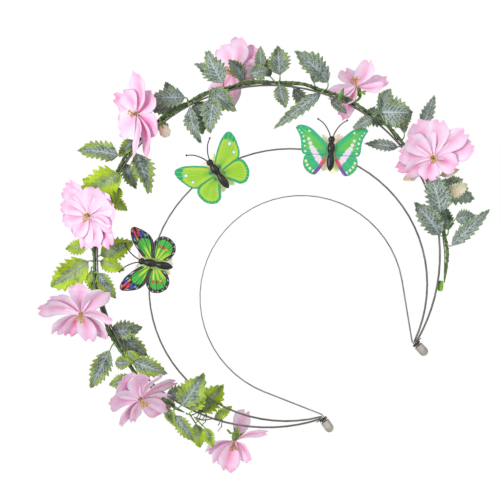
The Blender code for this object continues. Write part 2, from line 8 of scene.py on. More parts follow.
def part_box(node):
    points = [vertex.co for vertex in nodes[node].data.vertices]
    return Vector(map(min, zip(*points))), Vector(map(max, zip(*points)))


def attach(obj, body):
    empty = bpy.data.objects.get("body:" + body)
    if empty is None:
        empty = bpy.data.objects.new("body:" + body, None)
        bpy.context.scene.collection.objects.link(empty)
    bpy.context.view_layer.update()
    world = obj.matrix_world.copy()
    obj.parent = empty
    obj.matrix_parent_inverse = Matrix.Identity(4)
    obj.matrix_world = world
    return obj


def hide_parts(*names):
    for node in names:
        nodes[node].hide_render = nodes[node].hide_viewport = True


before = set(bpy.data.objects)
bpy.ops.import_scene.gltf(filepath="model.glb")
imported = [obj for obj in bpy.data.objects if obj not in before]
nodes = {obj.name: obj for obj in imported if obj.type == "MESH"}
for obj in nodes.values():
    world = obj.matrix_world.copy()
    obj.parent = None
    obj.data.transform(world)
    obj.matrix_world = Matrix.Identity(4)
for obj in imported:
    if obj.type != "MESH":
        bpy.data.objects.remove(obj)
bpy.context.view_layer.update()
mm = 0.001
random.seed(7)
front = Vector((0, -1, 0))


# camera and studio light

view = {"distance": 0.90, "width": 0.320, "centre": Vector((-6.7, 0, -20.4)) * mm, "lean": radians(38.97)}


def makeCamera():
    data = bpy.data.cameras.new("camera")
    data.sensor_width = 36
    data.lens = 18 * view["distance"] / (view["width"] / 2)
    camera = bpy.data.objects.new("camera", data)
    bpy.context.scene.collection.objects.link(camera)
    lean = view["lean"]
    turn = Matrix(((cos(lean), 0, -sin(lean)), (sin(lean), 0, cos(lean)), front)).transposed().to_4x4()
    camera.matrix_world = Matrix.Translation(view["centre"] + front * view["distance"]) @ turn
    bpy.context.scene.camera = camera


def lamp(name, place, size, power, colour=(1, 1, 1)):
    data = bpy.data.lights.new(name, "AREA")
    data.size, data.energy, data.color = size, power, colour
    light = bpy.data.objects.new(name, data)
    bpy.context.scene.collection.objects.link(light)
    light.matrix_world = Matrix.Translation(place) @ (view["centre"] - place).to_track_quat("-Z",
        "Y").to_matrix().to_4x4()


def makeWorld():
    world = bpy.data.worlds.new("studio")
    bpy.context.scene.world = world
    world.use_nodes = True
    tree = world.node_tree
    shade = tree.nodes["Background"]
    shade.inputs["Color"].default_value = (1, 1, 1, 1)
    path = tree.nodes.new("ShaderNodeLightPath")
    level = tree.nodes.new("ShaderNodeMapRange")
    level.inputs["To Min"].default_value = 0.52
    level.inputs["To Max"].default_value = 1.0
    tree.links.new(path.outputs["Is Camera Ray"], level.inputs["Value"])
    tree.links.new(level.outputs["Result"], shade.inputs["Strength"])
    bpy.context.scene.view_settings.view_transform = "Standard"


makeCamera()
makeWorld()
lamp("keyLight", Vector((-0.55, -0.75, 0.55)), 0.5, 8.5)
lamp("fillLight", Vector((0.7, -0.8, 0.1)), 0.8, 3.0)
lamp("rimLight", Vector((0.1, 0.7, 0.6)), 0.6, 4.0)
print("camera and lights are in place")


# materials: a wrapped socket for the maths, and one method for any other node


class Wire:
    def __init__(self, finish, socket):
        self.finish, self.socket = finish, socket

    def sum(self, operation, first, second=0.0):
        return self.finish.node("Math", {"operation": operation}, {0: first, 1: second})

    def __add__(self, other): return self.sum("ADD", self, other)
    def __radd__(self, other): return self.sum("ADD", other, self)
    def __sub__(self, other): return self.sum("SUBTRACT", self, other)
    def __rsub__(self, other): return self.sum("SUBTRACT", other, self)
    def __mul__(self, other): return self.sum("MULTIPLY", self, other)
    def __rmul__(self, other): return self.sum("MULTIPLY", other, self)
    def __abs__(self): return self.sum("ABSOLUTE", self)
    def __mod__(self, other): return self.sum("FLOORED_MODULO", self, other)


class Finish:
    def __init__(self, name, **fixed):
        self.material = bpy.data.materials.new(name)
        self.material.use_nodes = True
        self.tree = self.material.node_tree
        self.shader = self.tree.nodes["Principled BSDF"]
        for socket, value in fixed.items():
            self.shader.inputs[socket.replace("_", " ")].default_value = value

    def node(self, kind, settings=None, inputs=None, output=0):
        made = self.tree.nodes.new("ShaderNode" + kind)
        for key, value in (settings or {}).items():
            setattr(made, key, value)
        for key, value in (inputs or {}).items():
            if isinstance(value, Wire):
                self.tree.links.new(value.socket, made.inputs[key])
            else:
                made.inputs[key].default_value = value
        return Wire(self, made.outputs[output])

    def mix(self, share, first, second):
        return self.node("Mix", {"data_type": "RGBA"}, {0: share, 6: first, 7: second}, 2)

    def smooth(self, value, low, high):
        return self.node("MapRange", {"interpolation_type": "SMOOTHSTEP"}, {0: value, 1: low, 2: high})

    def place(self, scale=(1, 1, 1)):
        where = self.node("TexCoord", output=3)
        return self.node("Mapping", None, {"Vector": where, "Scale": scale})

    def noise(self, scale, detail=3, where=None):
        where = where or self.place()
        return self.node("TexNoise", None, {"Vector": where, "Scale": scale, "Detail": detail})

    def across(self):
        split = self.node("TexCoord", output=2)
        parts = self.tree.nodes.new("ShaderNodeSeparateXYZ")
        self.tree.links.new(split.socket, parts.inputs[0])
        return Wire(self, parts.outputs[0]), Wire(self, parts.outputs[1])

    def value(self, name):
        return self.node("Attribute", {"attribute_name": name}, output=2)

    def set(self, **links):
        for socket, wire in links.items():
            self.tree.links.new(wire.socket, self.shader.inputs[socket.replace("_", " ")])
        return self

    def bump(self, height, depth, strength=1.0):
        return self.set(Normal=self.node("Bump", None,
            {"Height": height, "Distance": depth, "Strength": strength}))


def rgb(code):
    parts = [int(code[i:i + 2], 16) / 255 for i in (0, 2, 4)]
    return tuple(c / 12.92 if c < 0.04045 else ((c + 0.055) / 1.055) ** 2.4 for c in parts) + (1,)


def steelFinish(name, light, dark, roughness):
    finish = Finish(name, Metallic=0.75)
    drawn = finish.noise(1400, 3, finish.place((0.15, 1, 0.15)))
    worn = finish.noise(40, 4)
    finish.set(Base_Color=finish.mix(finish.smooth(drawn + worn * 0.6, 0.45, 1.1), rgb(dark), rgb(light)))
    finish.set(Roughness=roughness + worn * 0.22)
    return finish.bump(drawn, 0.00008)


def plainFinish(name, light, dark, roughness, scale=400, depth=0.00008, **fixed):
    finish = Finish(name, **fixed)
    grain = finish.noise(scale, 4)
    finish.set(Base_Color=finish.mix(finish.smooth(grain, 0.3, 0.7), rgb(dark), rgb(light)))
    finish.set(Roughness=grain * 0.25 + (roughness - 0.12))
    return finish.bump(grain, depth)


def petalFinish():
    finish = Finish("silkPetal", Sheen_Weight=0.35, Sheen_Roughness=0.5)
    u, v = finish.across()
    side = abs(u - 0.5) * 2
    where = finish.node("TexCoord", output=2)
    fibre = finish.noise(7, 3, finish.node("Mapping", None, {"Vector": where, "Scale": (6, 0.9, 1)}))
    blush = finish.value("blush")
    middle = 1 - finish.smooth(side + fibre * 0.5, 0.22, 0.85)
    streak = middle * finish.smooth(v, 0.0, 0.15) * (1 -
        finish.smooth(v + fibre * 0.4, 0.55, 1.2)) * blush * 1.5
    throat = 1 - finish.smooth(v + side * 0.1 + fibre * 0.1, 0.08, 0.26)
    pale = finish.mix(finish.smooth(side + v * 0.5, 0.3, 1.25), rgb("F5CBE6"), rgb("F1E2F6"))
    tone = finish.mix(blush * 0.28, pale, rgb("F4A0D0"))
    tone = finish.mix(finish.smooth(fibre, 0.5, 0.75) * 0.4 * blush, tone, rgb("F69CCE"))
    tone = finish.mix(streak * 0.8, tone, rgb("F265A8"))
    rimPink = finish.smooth(side + fibre * 0.25, 0.92, 1.12) * blush * 0.7
    tone = finish.mix(rimPink, tone, rgb("F48CC0"))
    tone = finish.mix(finish.smooth(v + fibre * 0.3, 0.9, 1.15) * blush * 0.8, tone, rgb("F27FBB"))
    tone = finish.mix(throat * 0.75, tone, finish.mix(blush, rgb("F4DCC4"), rgb("E23C90")))
    finish.set(Base_Color=tone)
    weave = finish.noise(2600, 2)
    finish.set(Roughness=0.55 + weave * 0.2)
    pleats = finish.node("Math", {"operation": "SINE"}, {0: (u * 46 + fibre * 6)})
    return finish.bump(pleats * 0.3 + weave, 0.00008, 0.5)


def leafFinish():
    finish = Finish("frostedLeaf")
    u, v = finish.across()
    side = abs(u - 0.5) * 2
    lime = finish.value("lime")
    tint = finish.value("tint")
    rib = abs((v * 8.5 - side * 2.3) % 1.0 - 0.5) * 2
    ribs = finish.smooth(rib, 0.62, 0.95)
    mid = 1 - finish.smooth(side, 0.03, 0.12)
    where = finish.node("TexCoord", output=2)
    net = finish.node("TexVoronoi", {"feature": "DISTANCE_TO_EDGE"},
                      {"Vector": finish.node("Mapping", None, {"Vector": where, "Scale": (12, 24, 1)}),
                          "Scale": 1.0})
    mesh = 1 - finish.smooth(net, 0.05, 0.17)
    patch = finish.noise(150, 5)
    relief = finish.node("Math", {"operation": "MAXIMUM"}, {0: ribs, 1: mesh * 0.85})
    relief = finish.node("Math", {"operation": "MAXIMUM"}, {0: relief, 1: mid})
    green = finish.mix(patch, rgb("16301E"), rgb("427A3C"))
    green = finish.mix(tint, green, rgb("1C2C20"))
    edge = finish.smooth(side * 0.8 + patch * 0.8 + v * 0.3 + lime * 0.25, 0.95, 1.3) * lime
    speck = finish.smooth(finish.noise(700, 3), 0.52, 0.62)
    frost = relief * finish.smooth(patch, 0.2, 0.55)
    frost = finish.node("Math", {"operation": "MAXIMUM"}, {0: frost, 1: speck * 0.75})
    frost = frost * (1 - edge * 0.85) * (1 - tint * 0.35) * (1 - lime * 0.35)
    tone = finish.mix(frost * 0.92, green, rgb("C6CED2"))
    bright = finish.mix(patch, rgb("98C414"), rgb("D8F030"))
    tone = finish.mix(edge * 0.95, tone, bright)
    wash = finish.smooth(lime + patch * 0.9, 1.0, 1.45) * (1 - relief * 0.75)
    tone = finish.mix(wash * 0.75, tone, bright)
    cream = finish.value("cream")
    tone = finish.mix(finish.smooth(cream, 0.1, 0.6), tone, finish.mix(patch, rgb("E8DCB4"), rgb("F8F2D8")))
    finish.set(Base_Color=tone, Roughness=0.42 + patch * 0.2)
    return finish.bump(relief + patch * 0.3, 0.00035, 0.8)


def wingFinish(name):
    finish = Finish(name, Roughness=0.32, Coat_Weight=0.25, Coat_Roughness=0.15)
    u, v = finish.across()
    colour = finish.node("Attribute", {"attribute_name": "print"})
    angle = finish.node("Math", {"operation": "ARCTAN2"}, {0: v - 0.5, 1: u - 0.5})
    rays = finish.node("Math", {"operation": "SINE"}, {0: angle * 58})
    fine = finish.smooth(rays, 0.72, 1.0)
    grain = finish.noise(1500, 2)
    finish.set(Base_Color=finish.mix(fine * 0.16 * grain * 2, colour, rgb("F4E8F0")))
    return finish.bump(rays * 0.6 + grain, 0.00005, 0.6)


finishes = {
    "band_steel": steelFinish("drawnSteelLight", "A8A6A4", "6E6C6A", 0.30),
    "halo_steel": steelFinish("drawnSteelBrown", "86807A", "54504C", 0.30),
    "end_cap": plainFinish("warmGreyCap", "B8B2AA", "9A948C", 0.42, 300, 0.00004, Metallic=0.15),
    "binding": plainFinish("darkWire", "5A4C40", "2A221C", 0.45, 600, 0.00003, Metallic=0.4),
    "vine": plainFinish("vineSkin", "6E8A50", "35452A", 0.62, 420, 0.00025),
    "sleeve": plainFinish("greenSleeve", "9AC83C", "5E9A2C", 0.5, 300, 0.0001),
    "flower_stem": plainFinish("stemSkin", "9CC050", "4E7A34", 0.55, 260, 0.00012),
    "bud": plainFinish("budSkin", "6E9448", "33502C", 0.6, 300, 0.0001),
    "insect": plainFinish("blackGloss", "1A1A1E", "08080A", 0.45, 500, 0.00006, Coat_Weight=0.15),
    "petal": petalFinish(), "leaf": leafFinish(),
    "wing_film_1": wingFinish("limeWing"), "wing_film_2": wingFinish("emeraldWing"),
    "wing_film_3": wingFinish("mosaicWing"),
}
anther = plainFinish("anther", "E0C060", "A88030", 0.7, 900, 0.0002)
blossomCream = plainFinish("budPetal", "FBEBDA", "F2CDB6", 0.65, 200, 0.0001, Sheen_Weight=0.3)
print("finishes are mixed")


# mesh helpers


def pick(*pieces):
    for other in bpy.context.selected_objects:
        other.select_set(False)
    for piece in pieces:
        piece.select_set(True)
    if pieces:
        bpy.context.view_layer.objects.active = pieces[0]


def smoothPath(points, steps=6):
    points = [Vector(p) for p in points]
    ends = [points[0] * 2 - points[1]] + points + [points[-1] * 2 - points[-2]]
    path = []
    for a, b, c, d in zip(ends, ends[1:], ends[2:], ends[3:]):
        for step in range(steps):
            t = step / steps
            path.append(0.5 * (2 * b + (c - a) * t + (2 * a - 5 * b + 4 * c - d) * t ** 2 +
                (3 * b - a - 3 * c + d) * t ** 3))
    return path + [points[-1]]


def spread(values, count):
    return list(np.interp(np.linspace(0, 1, count), np.linspace(0, 1, len(values)), values))


# curve strands with their own thickness at each point, made one mesh
def tubes(name, strands, sides=3):
    data = bpy.data.curves.new(name, "CURVE")
    data.dimensions, data.bevel_depth, data.bevel_resolution, data.use_fill_caps = "3D", 1.0, sides, True
    for path, thick in strands:
        line = data.splines.new("POLY")
        line.points.add(len(path) - 1)
        for point, place, r in zip(line.points, path, spread(thick, len(path))):
            point.co, point.radius = (*place, 1), r
    piece = bpy.data.objects.new(name, data)
    bpy.context.scene.collection.objects.link(piece)
    pick(piece)
    bpy.ops.object.convert(target="MESH")
    piece = bpy.context.active_object
    bpy.ops.object.shade_smooth()
    return piece


def dress(piece, finish):
    piece.data.materials.clear()
    piece.data.materials.append(finish.material)
    return piece


def joined(name, pieces):
    pick(*pieces)
    if len(pieces) > 1:
        bpy.ops.object.join()
    pieces[0].name = pieces[0].data.name = name
    return pieces[0]


def applied(piece, kind, **settings):
    pick(piece)
    made = piece.modifiers.new(kind.lower(), kind)
    for key, value in settings.items():
        setattr(made, key, value)
    bpy.ops.object.modifier_apply(modifier=made.name)


grids = {}


# a flat grid as its own mesh, with u from -1 to 1 across and v from 0 to 1 along
def gridPiece(name, across, along):
    if (across, along) not in grids:
        pick()
        bpy.ops.mesh.primitive_grid_add(x_subdivisions=across, y_subdivisions=along, size=2)
        start = bpy.context.active_object
        places = np.zeros(len(start.data.vertices) * 3)
        start.data.vertices.foreach_get("co", places)
        grids[across, along] = (start.data.copy(), places.reshape(-1, 3))
        bpy.data.objects.remove(start)
    mesh, places = grids[across, along]
    piece = bpy.data.objects.new(name, mesh.copy())
    bpy.context.scene.collection.objects.link(piece)
    return piece, places[:, 0].copy(), (places[:, 1].copy() + 1) / 2


def shaped(piece, places, **marks):
    mesh = piece.data
    mesh.vertices.foreach_set("co", np.ascontiguousarray(places, float).ravel())
    for name, value in marks.items():
        layer = mesh.attributes.new(name, "FLOAT", "POINT")
        layer.data.foreach_set("value", np.broadcast_to(np.asarray(value, float),
            (len(mesh.vertices),)).copy())
    mesh.update()
    return piece


def frameOf(base, along, face, roll=0.0):
    along = along.normalized()
    up = (face - along * face.dot(along)).normalized()
    turn = Matrix((along.cross(up), along, up)).transposed().to_4x4()
    return Matrix.Translation(base) @ turn @ Matrix.Rotation(roll, 4, "Y")


def put(matrix, x, y, z):
    m = np.array(matrix)
    return np.stack([x, y, z], 1) @ m[:3, :3].T + m[:3, 3]


def inPlane(angle, lift=0.0):
    return Vector((sin(angle) * cos(lift), -sin(lift), cos(angle) * cos(lift)))


def ringOf(node):
    spots = np.array([v.co for v in nodes[node].data.vertices])
    spots = spots[spots[:, 2] > 0.0]
    x, z = spots[:, 0], spots[:, 2]
    middle, rest = np.linalg.lstsq(np.stack([2 * z, np.ones(len(z))], 1), x * x + z * z, rcond=None)[0]
    return middle, sqrt(rest + middle ** 2)


ringCentre, ringRadius = ringOf("outer_ring")


def ringPoint(angle):
    return Vector((ringRadius * sin(angle), 0, ringCentre + ringRadius * cos(angle)))


standoff = 2.3 * mm  # from the outer ring's middle out to the vine's


def overVine(degrees, height, depth):
    angle = radians(degrees)
    return ringPoint(angle) + inPlane(angle) * (standoff + height * mm) + Vector((0, depth * mm, 0))


# bands, caps and bindings


def refined(node, slot, bevel=0.00012, angle=35):
    piece = bpy.data.objects.new(node + "_shown", nodes[node].data.copy())
    bpy.context.scene.collection.objects.link(piece)
    pick(piece)
    bpy.ops.object.mode_set(mode="EDIT")
    bpy.ops.mesh.select_all(action="SELECT")
    bpy.ops.mesh.remove_doubles(threshold=0.00002)
    bpy.ops.mesh.dissolve_limited(angle_limit=radians(2))
    bpy.ops.object.mode_set(mode="OBJECT")
    if bevel:
        applied(piece, "BEVEL", width=bevel, segments=2, angle_limit=radians(40), harden_normals=False)
    bpy.ops.object.shade_smooth_by_angle(angle=radians(angle))
    dress(piece, finishes[slot])
    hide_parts(node)
    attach(piece, "crown")


for node in ("inner_band", "tip_cap_left", "tip_cap_right"):
    refined(node, "band_steel" if node == "inner_band" else "end_cap",
        0.0001 if node == "inner_band" else 0.0003)
for node in ("middle_ring", "outer_ring"):
    refined(node, "halo_steel")
for node in ("tip_binding_left", "tip_binding_right", "binding_wire_1", "binding_wire_2", "binding_wire_3"):
    refined(node, "binding", 0, 60)
refined("stem_end_sleeve", "sleeve", 0.0002)
print("bands, caps and bindings are finished")


# vine with its wrapped wire

vine = {"radius": 1.0, "wave": 0.45, "waves": 23, "start": -112, "end": 137}


def vineLine(degrees):
    angle = radians(degrees)
    swing = vine["waves"] * (angle - radians(vine["start"]))
    place = ringPoint(angle) + inPlane(angle) * (standoff + vine["wave"] * mm * sin(swing))
    return place + Vector((0, 2 * vine["wave"] * mm * cos(swing), 0)), swing


def vinePoint(degrees):
    return vineLine(degrees)[0]


def makeVine():
    count = 620
    angles = np.linspace(vine["start"], vine["end"], count)
    path = [vinePoint(a) for a in angles]
    thick = []
    for a in angles:
        swell = 0.12 * sin(a * 0.9) + 0.18 * max(0, sin(a * 0.41 + 1)) ** 6 + random.uniform(-0.03, 0.03)
        taper = min(1, 0.35 + (vine["end"] - a) / 6, 0.35 + (a - vine["start"]) / 6)
        thick.append((vine["radius"] * (1 + swell)) * mm * taper)
    strands = [(path, thick)]
    coil, turns = [], 118
    for i in range(turns * 10):
        share = i / (turns * 10 - 1)
        degrees = vine["start"] + 3 + share * (vine["end"] - vine["start"] - 8)
        place = vinePoint(degrees)
        twist = 2 * pi * turns * share
        outward = inPlane(radians(degrees))
        coil.append(place + (outward * cos(twist) + Vector((0, sin(twist), 0))) * 1.22 * mm)
    for phase, thinness in ((0.6, 0.55), (2.9, 0.45)):
        side = []
        for a in np.linspace(vine["start"] + 4, vine["end"] - 3, 420):
            place, swing = vineLine(a)
            around = swing * 0.55 + phase
            out = inPlane(radians(a))
            side.append(place + (out * (0.95 * cos(around) - 0.75) + Vector((0, 1.15 * sin(around), 0))) * mm)
        strands.append((side, [thinness * mm * 0.6, thinness * mm, thinness * mm, thinness * mm * 0.6]))
    stem = dress(tubes("vineStem", strands, 3), finishes["vine"])
    wrap = dress(tubes("vineWrap", [(coil, [0.2 * mm] * 2)], 1), finishes["vine"])
    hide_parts("vine_stem")
    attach(stem, "crown")
    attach(wrap, "crown")


makeVine()
print("vine is wound")


# leaves

leafCut = {"teeth": 8, "toothDepth": 0.44, "fold": 0.42, "curl": 0.35, "thick": 0.45}


def leafSheet(base, along, face, length, width, roll, lime, tint=0.2, cream=0.0, bend=0.1, twist=0.15,
    teeth=None):
    piece, u, v = gridPiece("leaf", 14, 64)
    length, width = length * mm, width * mm
    outline = np.interp(v, [0, .05, .16, .34, .52, .72, .88, 1], [.08, .46, .84, 1, .94, .68, .36, .03])
    count = teeth or leafCut["teeth"]
    bite = (v * count + 0.15 * np.sign(u)) % 1.0
    sharp = np.where(bite < 0.72, bite / 0.72, (1 - bite) / 0.28) - 0.45
    tooth = 1 + leafCut["toothDepth"] * sharp * np.abs(u) ** 4 * np.sin(pi * np.clip(v, 0, 1)) ** 0.3
    x = u * outline * tooth * width / 2
    y = v * length + np.abs(u) ** 3 * (0.03 + 0.035 * np.clip(sharp, 0, 1)) * length
    ribs = 0.018 * width * np.cos(2 * pi * (v * 8.5 - np.abs(u) * 2.3)) * np.sin(pi * v) * np.minimum(1,
        np.abs(u) * 3)
    fold = leafCut["fold"] * np.abs(x) + 0.05 * width * np.exp(-(u / 0.12) ** 2)
    wave = 0.085 * width * np.sin(v * 10 + random.uniform(0, 6)) * u * np.abs(u) * 1.6
    sag = -bend * length * (v ** 2) * 1.0 + leafCut["curl"] * 0.2 * length * np.sin(pi * v)
    z = fold + ribs + wave + sag
    turn = twist * (v - 0.3)
    x, z = x * np.cos(turn) - (z - sag) * np.sin(turn), x * np.sin(turn) + (z - sag) * np.cos(turn) + sag
    return shaped(piece, put(frameOf(base, along, face, radians(roll)), x, y, z), lime=lime, tint=tint,
        cream=cream)


# root on the vine, side it leaves on and lime share, then leaves: degrees, height and depth over the vine,
# heading and lift of the tip, length, width and roll
sprigs = {
    1: (-14, 60, 0.5, [(-17, 4, -5, -43, 5, 25, 13, 20), (-13, -5, -6, -160, 5, 26, 13, -15)]),
    2: (-22, 70, 1.0, [(-22, -5, -6, -77, 10, 31, 18, 10), (-26, -6, -5, -134, 8, 12, 7, 0)]),
    3: (11, 60, 0.2, [(11, 3, -4, -53, 10, 22, 12, 0), (11, -4, -5, -154, 5, 23, 9, 25)]),
    4: (22, 80, 0.2, [(24, 2, -10, 10, 6, 22, 14, -20), (20, -4, -5, -133, 5, 23, 13, 10)]),
    5: (35, 60, 0.3, [(36, 6, -3, 39, 8, 16, 7, 0), (33, 5, -6, 112, 8, 12, 10, 20)]),
    6: (42, 70, 0.3, [(42, 4, -5, 34, 5, 18, 13, 0), (42, -3, -5, -157, 5, 14, 9, 10)]),
    7: (57, 80, 0.2, [(57, 5, -6, -8, 8, 28, 14, 20), (56, -3, -6, -88, 6, 36, 8, 0)]),
    8: (76, 80, 0.2, [(76, 3, -6, 129, 4, 20, 18, 0), (75, 7, -6, 68, 6, 12, 8, 0),
        (75, -3, -6, -78, 5, 13, 7, 0)]),
    9: (88, -60, 0.1, [(89, 12, 4, 63, -10, 27, 8, 0), (88, -4, 4, -44, -5, 21, 7, 0)]),
    10: (104, -60, 0.2, [(105, 4, 5, 152, -6, 26, 16, 0), (107, 9, 5, 104, -8, 12, 9, 0)]),
    11: (123, 80, 0.15, [(121, -4, -4, 2, 8, 25, 14, 10), (125, 3, -4, 84, 8, 32, 9, -10),
        (117, 8, -3, 118, 5, 12, 9, 0)]),
    12: (-53, -60, 0.85, [(-52, 4, 4, -85, -6, 29, 18, -10), (-50, -4, 5, 106, -8, 22, 14, 0)]),
    13: (-57, 80, 0.6, [(-56, -3, -4, -176, 6, 19, 9, 0)]),
    14: (-78, -60, 0.45, [(-76, -4, 5, 172, -5, 26, 14, 10), (-81, 6, 4, -114, -8, 27, 12, 0)]),
    15: (-88, 80, 0.55, [(-88, -4, -4, 150, 6, 22, 12, 0), (-85, 6, -4, 129, 10, 11, 8, 0)]),
    16: (-107, 80, 0.6, [(-110, -4, -5, 74, 8, 24, 17, 10), (-110, 4, -5, -178, 8, 20, 9, 0)]),
    17: (-111, -60, 0.9, [(-116, -4, 5, 82, -4, 23, 15, 0), (-117, 4, 6, -150, -8, 16, 9, 0),
        (-122, -4, 5, 95, -3, 13, 6, 0)]),
}
# small leaves that fill the sprigs out: as in the table above, then lime, dark and cream shares
littleLeaves = {
    1: [(-10, 2, 2, -95, 5, 14, 8, 10, 0.6, 0.4, 0), (-18, -2, 2, -165, 0, 17, 9, 0, 0.5, 0.3, 0)],
    2: [(-28, 3, 3, -30, -5, 15, 9, 0, 0.8, 0.2, 0), (-24, 3, -3, -110, 8, 18, 11, -15, 1.0, 0.1, 0),
        (-30, -4, -2, 170, 5, 13, 8, 10, 0.9, 0.2, 0)],
    3: [(9, 1, 2, -60, 5, 20, 13, 0, 0.25, 0.4, 0), (14, -3, 2, -150, 5, 20, 12, 10, 0.35, 0.3, 0),
        (7, 4, 3, 20, -5, 15, 8, 0, 0.2, 0.7, 0)],
    4: [(20, 1, -3, 172, 5, 20, 12, 0, 0.35, 0.3, 0), (24, 5, -2, -22, 8, 20, 10, 15, 0.15, 0.1, 0),
        (18, -4, -2, -165, 5, 13, 8, 0, 0.3, 0.1, 0.6)],
    5: [(31, 3, 2, 0, 0, 16, 9, 0, 0.3, 0.5, 0)],
    6: [(39, 3, -2, 8, 8, 17, 9, 0, 0.25, 0.2, 0), (47, -3, 3, -175, -5, 16, 8, 0, 0.3, 0.6, 0)],
    7: [(60, -4, 2, 170, 0, 13, 6, 0, 0.2, 0.6, 0), (53, 3, 2, 60, -5, 15, 9, 0, 0.3, 0.5, 0)],
    8: [(72, -2, 2, 150, 5, 18, 12, 0, 0.25, 0.4, 0), (79, 3, -3, 22, 8, 17, 10, 10, 0.15, 0.1, 0),
        (82, 3, 2, 95, 0, 14, 9, 0, 0.3, 0.5, 0)],
    9: [(86, 5, 3, 30, -5, 15, 6, 0, 0.2, 0.4, 0)],
    10: [(103, 8, -3, 112, 8, 12, 5, 0, 0.3, 0.1, 0.8), (109, 8, -3, 102, 10, 13, 9, 10, 0.8, 0, 0.65),
        (99, -5, -2, -75, 5, 9, 6, 0, 0.4, 0, 0.85)],
    11: [(114, -1, -5, 26, 10, 26, 16, 8, 0.1, 0.1, 0), (120, 3, 3, 30, -5, 15, 8, 0, 0.2, 0.5, 0)],
    12: [(-47, 4, 3, -60, -5, 15, 9, 0, 0.9, 0.2, 0), (-55, 2, 2, -150, 0, 15, 8, 0, 1.0, 0.2, 0),
        (-52, -4, 3, 150, 0, 16, 9, 0, 0.9, 0.2, 0)],
    13: [(-60, 3, 2, 170, 0, 13, 7, 0, 1.0, 0.2, 0)],
    14: [(-76, 0, 3, 120, -5, 20, 12, 0, 0.3, 0.5, 0)],
    15: [(-92, 4, 4, -70, -8, 16, 9, 0, 0.6, 0.3, 0), (-84, -4, -2, 175, 5, 14, 7, 0, 0.8, 0.2, 0)],
    16: [(-104, -3, 2, 120, 0, 17, 10, 0, 0.4, 0.6, 0), (-106, 4, 3, -170, -5, 14, 6, 0, 0.7, 0.3, 0)],
    17: [(-114, -4, -3, 60, 8, 18, 11, 0, 0.9, 0.2, 0), (-120, 3, -3, -165, 5, 13, 7, 0, 1.0, 0.1, 0)],
}


def makeSprig(number):
    root, side, lime, leaves = sprigs[number]
    blades, stalks = [], []
    rows = [row + (lime, random.uniform(0.05, 0.45), 0.0) for row in leaves] + littleLeaves.get(number, [])
    for degrees, height, depth, heading, lift, length, width, roll, limeShare, dark, cream in rows:
        base = overVine(degrees, height, depth)
        along = inPlane(radians(heading), radians(lift))
        blades.append(leafSheet(base, along, front, length, width, roll, limeShare, dark, cream,
                                random.uniform(0.02, 0.16), random.uniform(-0.5, 0.5)))
        start = vinePoint((root + degrees) / 2)
        out = inPlane(radians(root)) * cos(radians(side)) + front * sin(radians(side))
        middle = (start + base) / 2 + out * 1.5 * mm - along * 1.2 * mm
        stalks.append((smoothPath([start, middle, base, base + along * length * 0.12 * mm], 6),
            [0.55 * mm, 0.42 * mm, 0.3 * mm]))
    piece = joined(f"leafSprig{number}", blades)
    applied(piece, "SOLIDIFY", thickness=leafCut["thick"] * mm, offset=0)
    pick(piece)
    bpy.ops.object.shade_smooth()
    dress(piece, finishes["leaf"])
    stalk = dress(tubes(f"leafStalks{number}", stalks, 2), finishes["flower_stem"])
    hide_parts(f"leaf_sprig_{number}")
    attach(piece, "crown")
    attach(stalk, "crown")


for number in sprigs:
    makeSprig(number)
print("leaves are set")


# flowers
# hub over the vine, heading and lift of the face, cup depth, then petals: heading, reach, width, blush and,
# where it is given, depth of the tip

flowers = {
    1: ((28, 10, 17), (-40, 32), 9, [
        (12, 21, 10, .3), (46, 21, 10, .3), (84, 20, 10, .5), (-87, 23, 10, .5), (150, 13, 7, .6),
        (-133, 22, 10, .5), (-20, 17, 9, .4), (115, 14, 8, .5)]),
    2: ((66, 11, 10), (21, 0), 8, [
        (59, 19, 12, .3, -2), (106, 21, 8, .4, 2), (122, 16, 7, .5, -8), (-53, 19, 10, .3, 4),
        (-71, 19, 9, .4, -6), (-100, 14, 6, .9, -15), (-109, 22, 8, .7, 7), (10, 16, 9, .4, 8)]),
    3: ((97, 8, -11), (-141, 65), 6, [
        (9, 23, 12, .3), (48, 21, 10, .3), (94, 23, 9, .4), (119, 25, 10, .5), (154, 16, 9, .6),
        (-130, 15, 9, .6), (-87, 20, 9, .6), (-71, 24, 7, .7), (-51, 21, 9, .4), (-20, 19, 9, .3)]),
    4: ((-3.5, 11, -9), (-54, 28), 9, [
        (31, 24, 13, .4), (-21, 22, 9, 1.0), (-81, 17, 14, .2), (-130, 26, 10, .4), (-149, 27, 9, .6),
        (0, 18, 11, .4), (180, 17, 11, .5), (75, 14, 10, .5)]),
    5: ((-37.5, 4.5, -15), (-92, 60), 7, [
        (4, 23, 7, .4), (-8, 22, 7, .3), (-34, 19, 7, .4), (129, 16, 12, .2), (100, 16, 11, .2),
        (-129, 22, 7, .5), (-150, 21, 9, .4), (-172, 24, 8, .8), (-105, 17, 7, .4), (55, 16, 10, .2),
        (165, 17, 8, .7), (-65, 18, 7, .4)]),
    6: ((-67, 11, -14), (-134, 34), 8, [
        (-52, 26, 9, .4), (-93, 25, 9, .3), (-112, 20, 8, 1.0), (-150, 21, 9, .5), (-175, 24, 8, .4),
        (94, 20, 11, .2), (147, 20, 9, .4), (-30, 20, 10, .2), (40, 17, 10, .2)]),
    7: ((-98, 8, -12), (176, 24), 8, [
        (-2, 15, 12, .3), (88, 21, 6, .4), (112, 25, 8, .5), (150, 23, 9, .5), (170, 19, 9, .7),
        (-131, 16, 8, .5), (-112, 20, 9, .4), (-60, 17, 11, .3), (45, 15, 10, .2)]),
    8: ((-130, 7, 12), (-134, 14), 8, [
        (67, 20, 10, .3, 5), (124, 22, 5, .5, 3), (-175, 16, 10, .6, -6), (-129, 19, 10, .5, -9),
        (-108, 21, 9, .3, 5), (-82, 20, 9, .3, 2), (-150, 17, 8, .5, 10)]),
}


